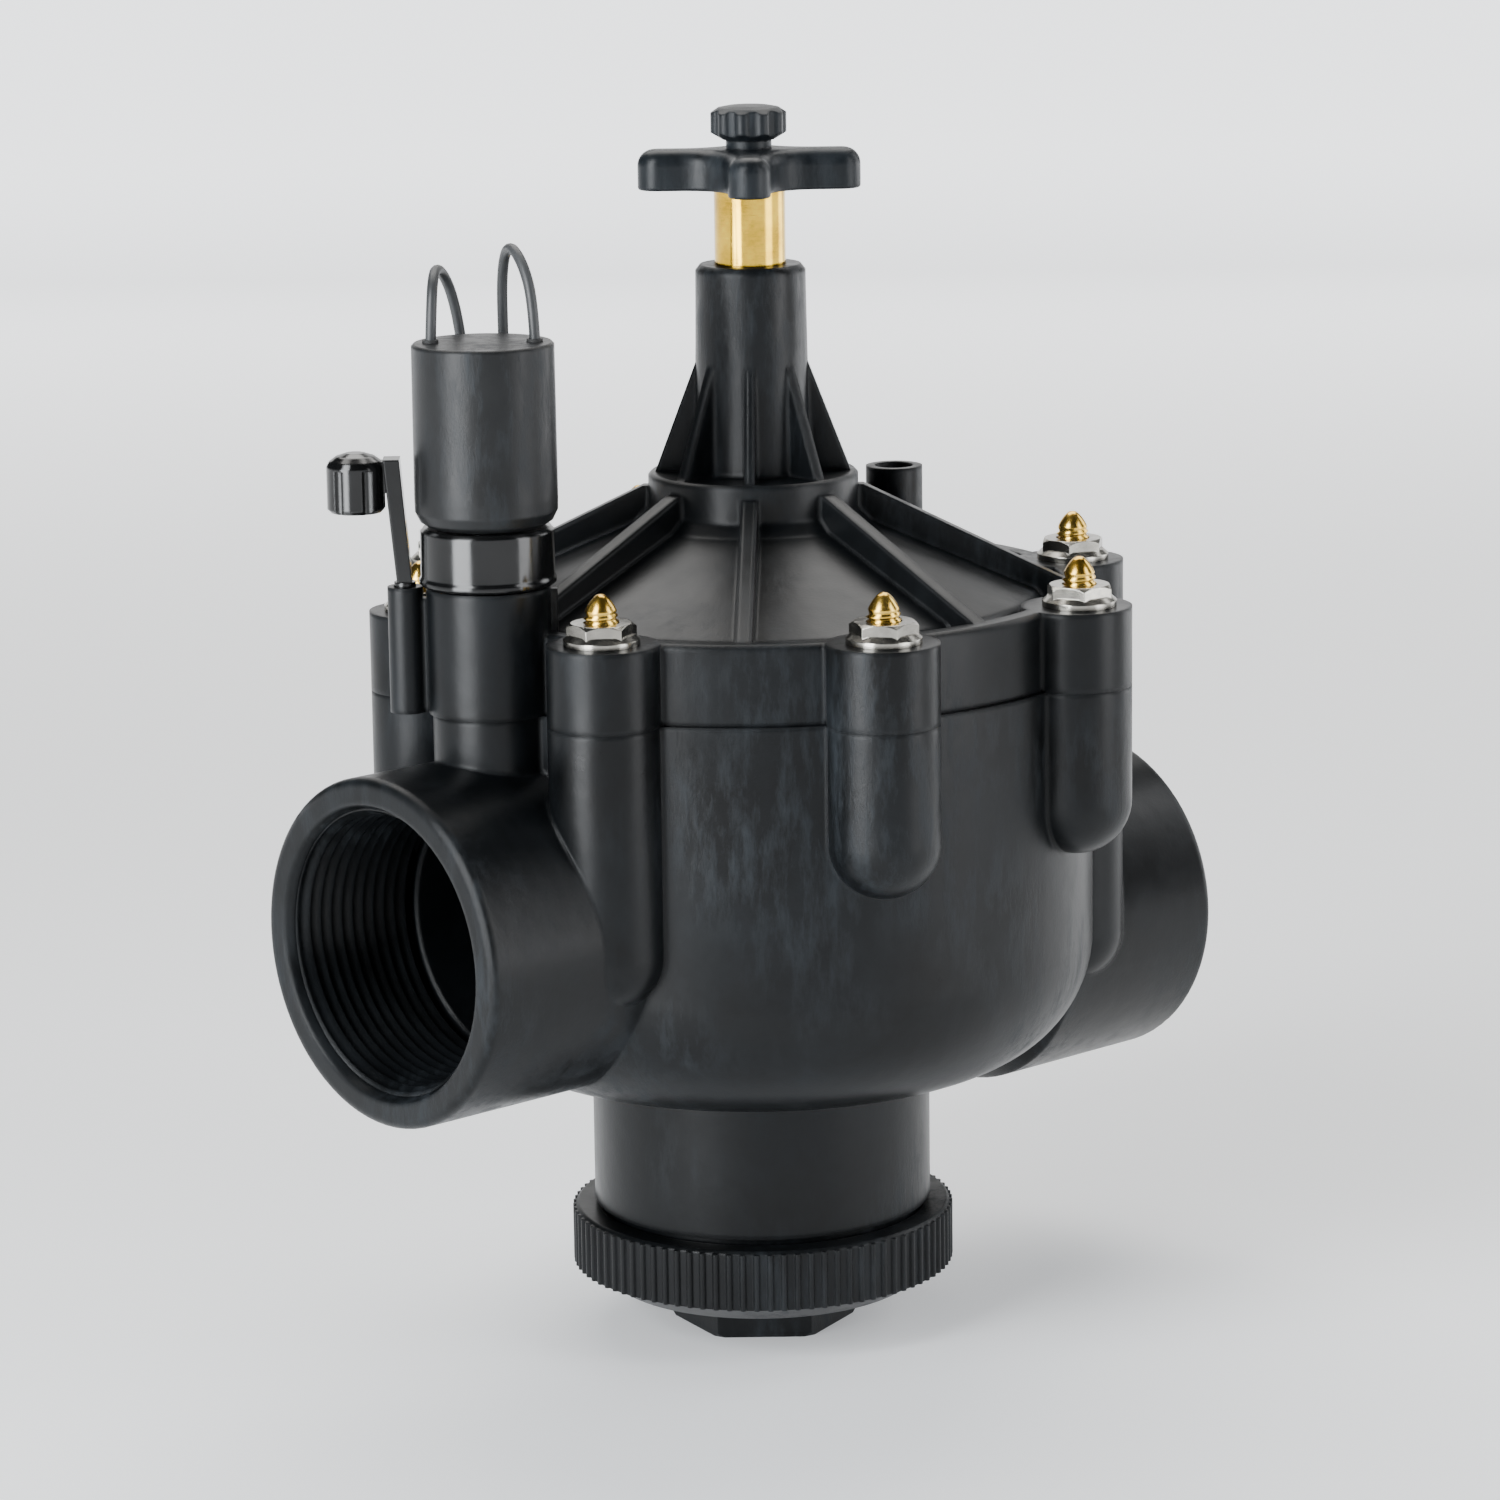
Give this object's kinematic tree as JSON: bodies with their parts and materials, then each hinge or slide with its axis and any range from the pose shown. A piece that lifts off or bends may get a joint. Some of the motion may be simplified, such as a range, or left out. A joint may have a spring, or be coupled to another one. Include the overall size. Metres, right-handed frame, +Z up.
{
  "type": "diaphragm zone valve",
  "caption": "Solenoid-operated diaphragm zone valve: round body with two threaded sockets, ribbed bonnet, tall stem with cross handle, pilot solenoid with leads, knurled bottom cap.",
  "frame": {"origin": "centre of the valve on the floor, under the stem's axis, at the flat bottom of the cap's wrench hexagon", "axes": "+Z up the stem, +X along the pipe towards the inlet socket, the outlet socket and the solenoid are at -X"},
  "size_m": [0.1712, 0.1446, 0.2144],
  "materials": {
    "body_plastic": "satin moulded glass-filled nylon",
    "cap_plastic": "satin moulded, knurled rim",
    "handle_plastic": "satin moulded",
    "solenoid_plastic": "satin potted housing",
    "gloss_black": "glossy moulded",
    "bobbin_plastic": "natural moulded",
    "rubber": "moulded rubber",
    "brass": "turned and polished",
    "stud_brass": "threaded, pale gold",
    "nut_steel": "zinc plated",
    "steel": "stainless",
    "copper": "enamelled winding wire",
    "lead_insulation": "soft insulated wire"
  },
  "bodies": {
    "valve": {"valve_body": "body_plastic", "bonnet": "body_plastic", "bottom_cap": "cap_plastic", "bottom_cap_o_ring": "rubber", "bonnet_studs": "stud_brass", "bonnet_nuts": "nut_steel", "stem_insert": "brass", "pilot_seat": "brass", "lead_wire_left": "lead_insulation", "lead_wire_right": "lead_insulation", "lead_coil_left": "lead_insulation", "lead_coil_right": "lead_insulation"},
    "flow_stop": {"flow_stop_foot": "brass"},
    "handle": {"cross_handle": "handle_plastic", "handle_knob": "handle_plastic", "flow_stem": "brass", "stem_o_rings": "rubber"},
    "seat_assembly": {"seat_disc": "rubber", "seat_retainer": "body_plastic", "diaphragm_plate": "body_plastic", "diaphragm_bolt": "steel", "diaphragm_nut": "steel", "diaphragm": "rubber", "main_spring": "steel"},
    "solenoid": {"solenoid_adapter": "gloss_black", "solenoid_housing": "solenoid_plastic", "solenoid_yoke": "steel", "coil_bobbin": "bobbin_plastic", "solenoid_coil": "copper", "core_tube": "steel", "solenoid_core": "steel", "lead_grommets": "rubber"},
    "plunger": {"solenoid_plunger": "steel", "plunger_seal": "rubber", "plunger_spring": "steel"},
    "bleed": {"bleed_lever": "gloss_black", "bleed_screw": "gloss_black"}
  },
  "joints": [
    {"name": "flow_stop_travel", "type": "slide", "parent": "valve", "child": "flow_stop", "axis": [0, 0, 1], "range_m": [-0.0115, 0]},
    {"name": "handle_turn", "type": "hinge", "parent": "flow_stop", "child": "handle", "pos_m": [0, 0, 0.2003], "axis": [0, 0, 1], "range_deg": [-1440, 0]},
    {"name": "diaphragm_lift", "type": "slide", "parent": "valve", "child": "seat_assembly", "axis": [0, 0, 1], "range_m": [0, 0.008], "stiffness_N_per_m": 600, "springref_m": -0.01, "deforming": ["main_spring", "diaphragm"]},
    {"name": "solenoid_turn", "type": "hinge", "parent": "valve", "child": "solenoid", "pos_m": [-0.06, 0, 0.1496], "axis": [0, 0, 1], "range_deg": [0, 90]},
    {"name": "plunger_lift", "type": "slide", "parent": "solenoid", "child": "plunger", "axis": [0, 0, 1], "range_m": [0, 0.002], "stiffness_N_per_m": 200, "springref_m": -0.004, "deforming": ["plunger_spring"]},
    {"name": "bleed_lever_turn", "type": "hinge", "parent": "valve", "child": "bleed", "pos_m": [-0.0699, 0.0096, 0.1396], "axis": [0, 0, 1], "range_deg": [0, 45]}
  ],
  "couplings": [
    {"joint": "flow_stop_travel", "follows": "handle_turn", "m_per_rad": 0.00039789}
  ]
}
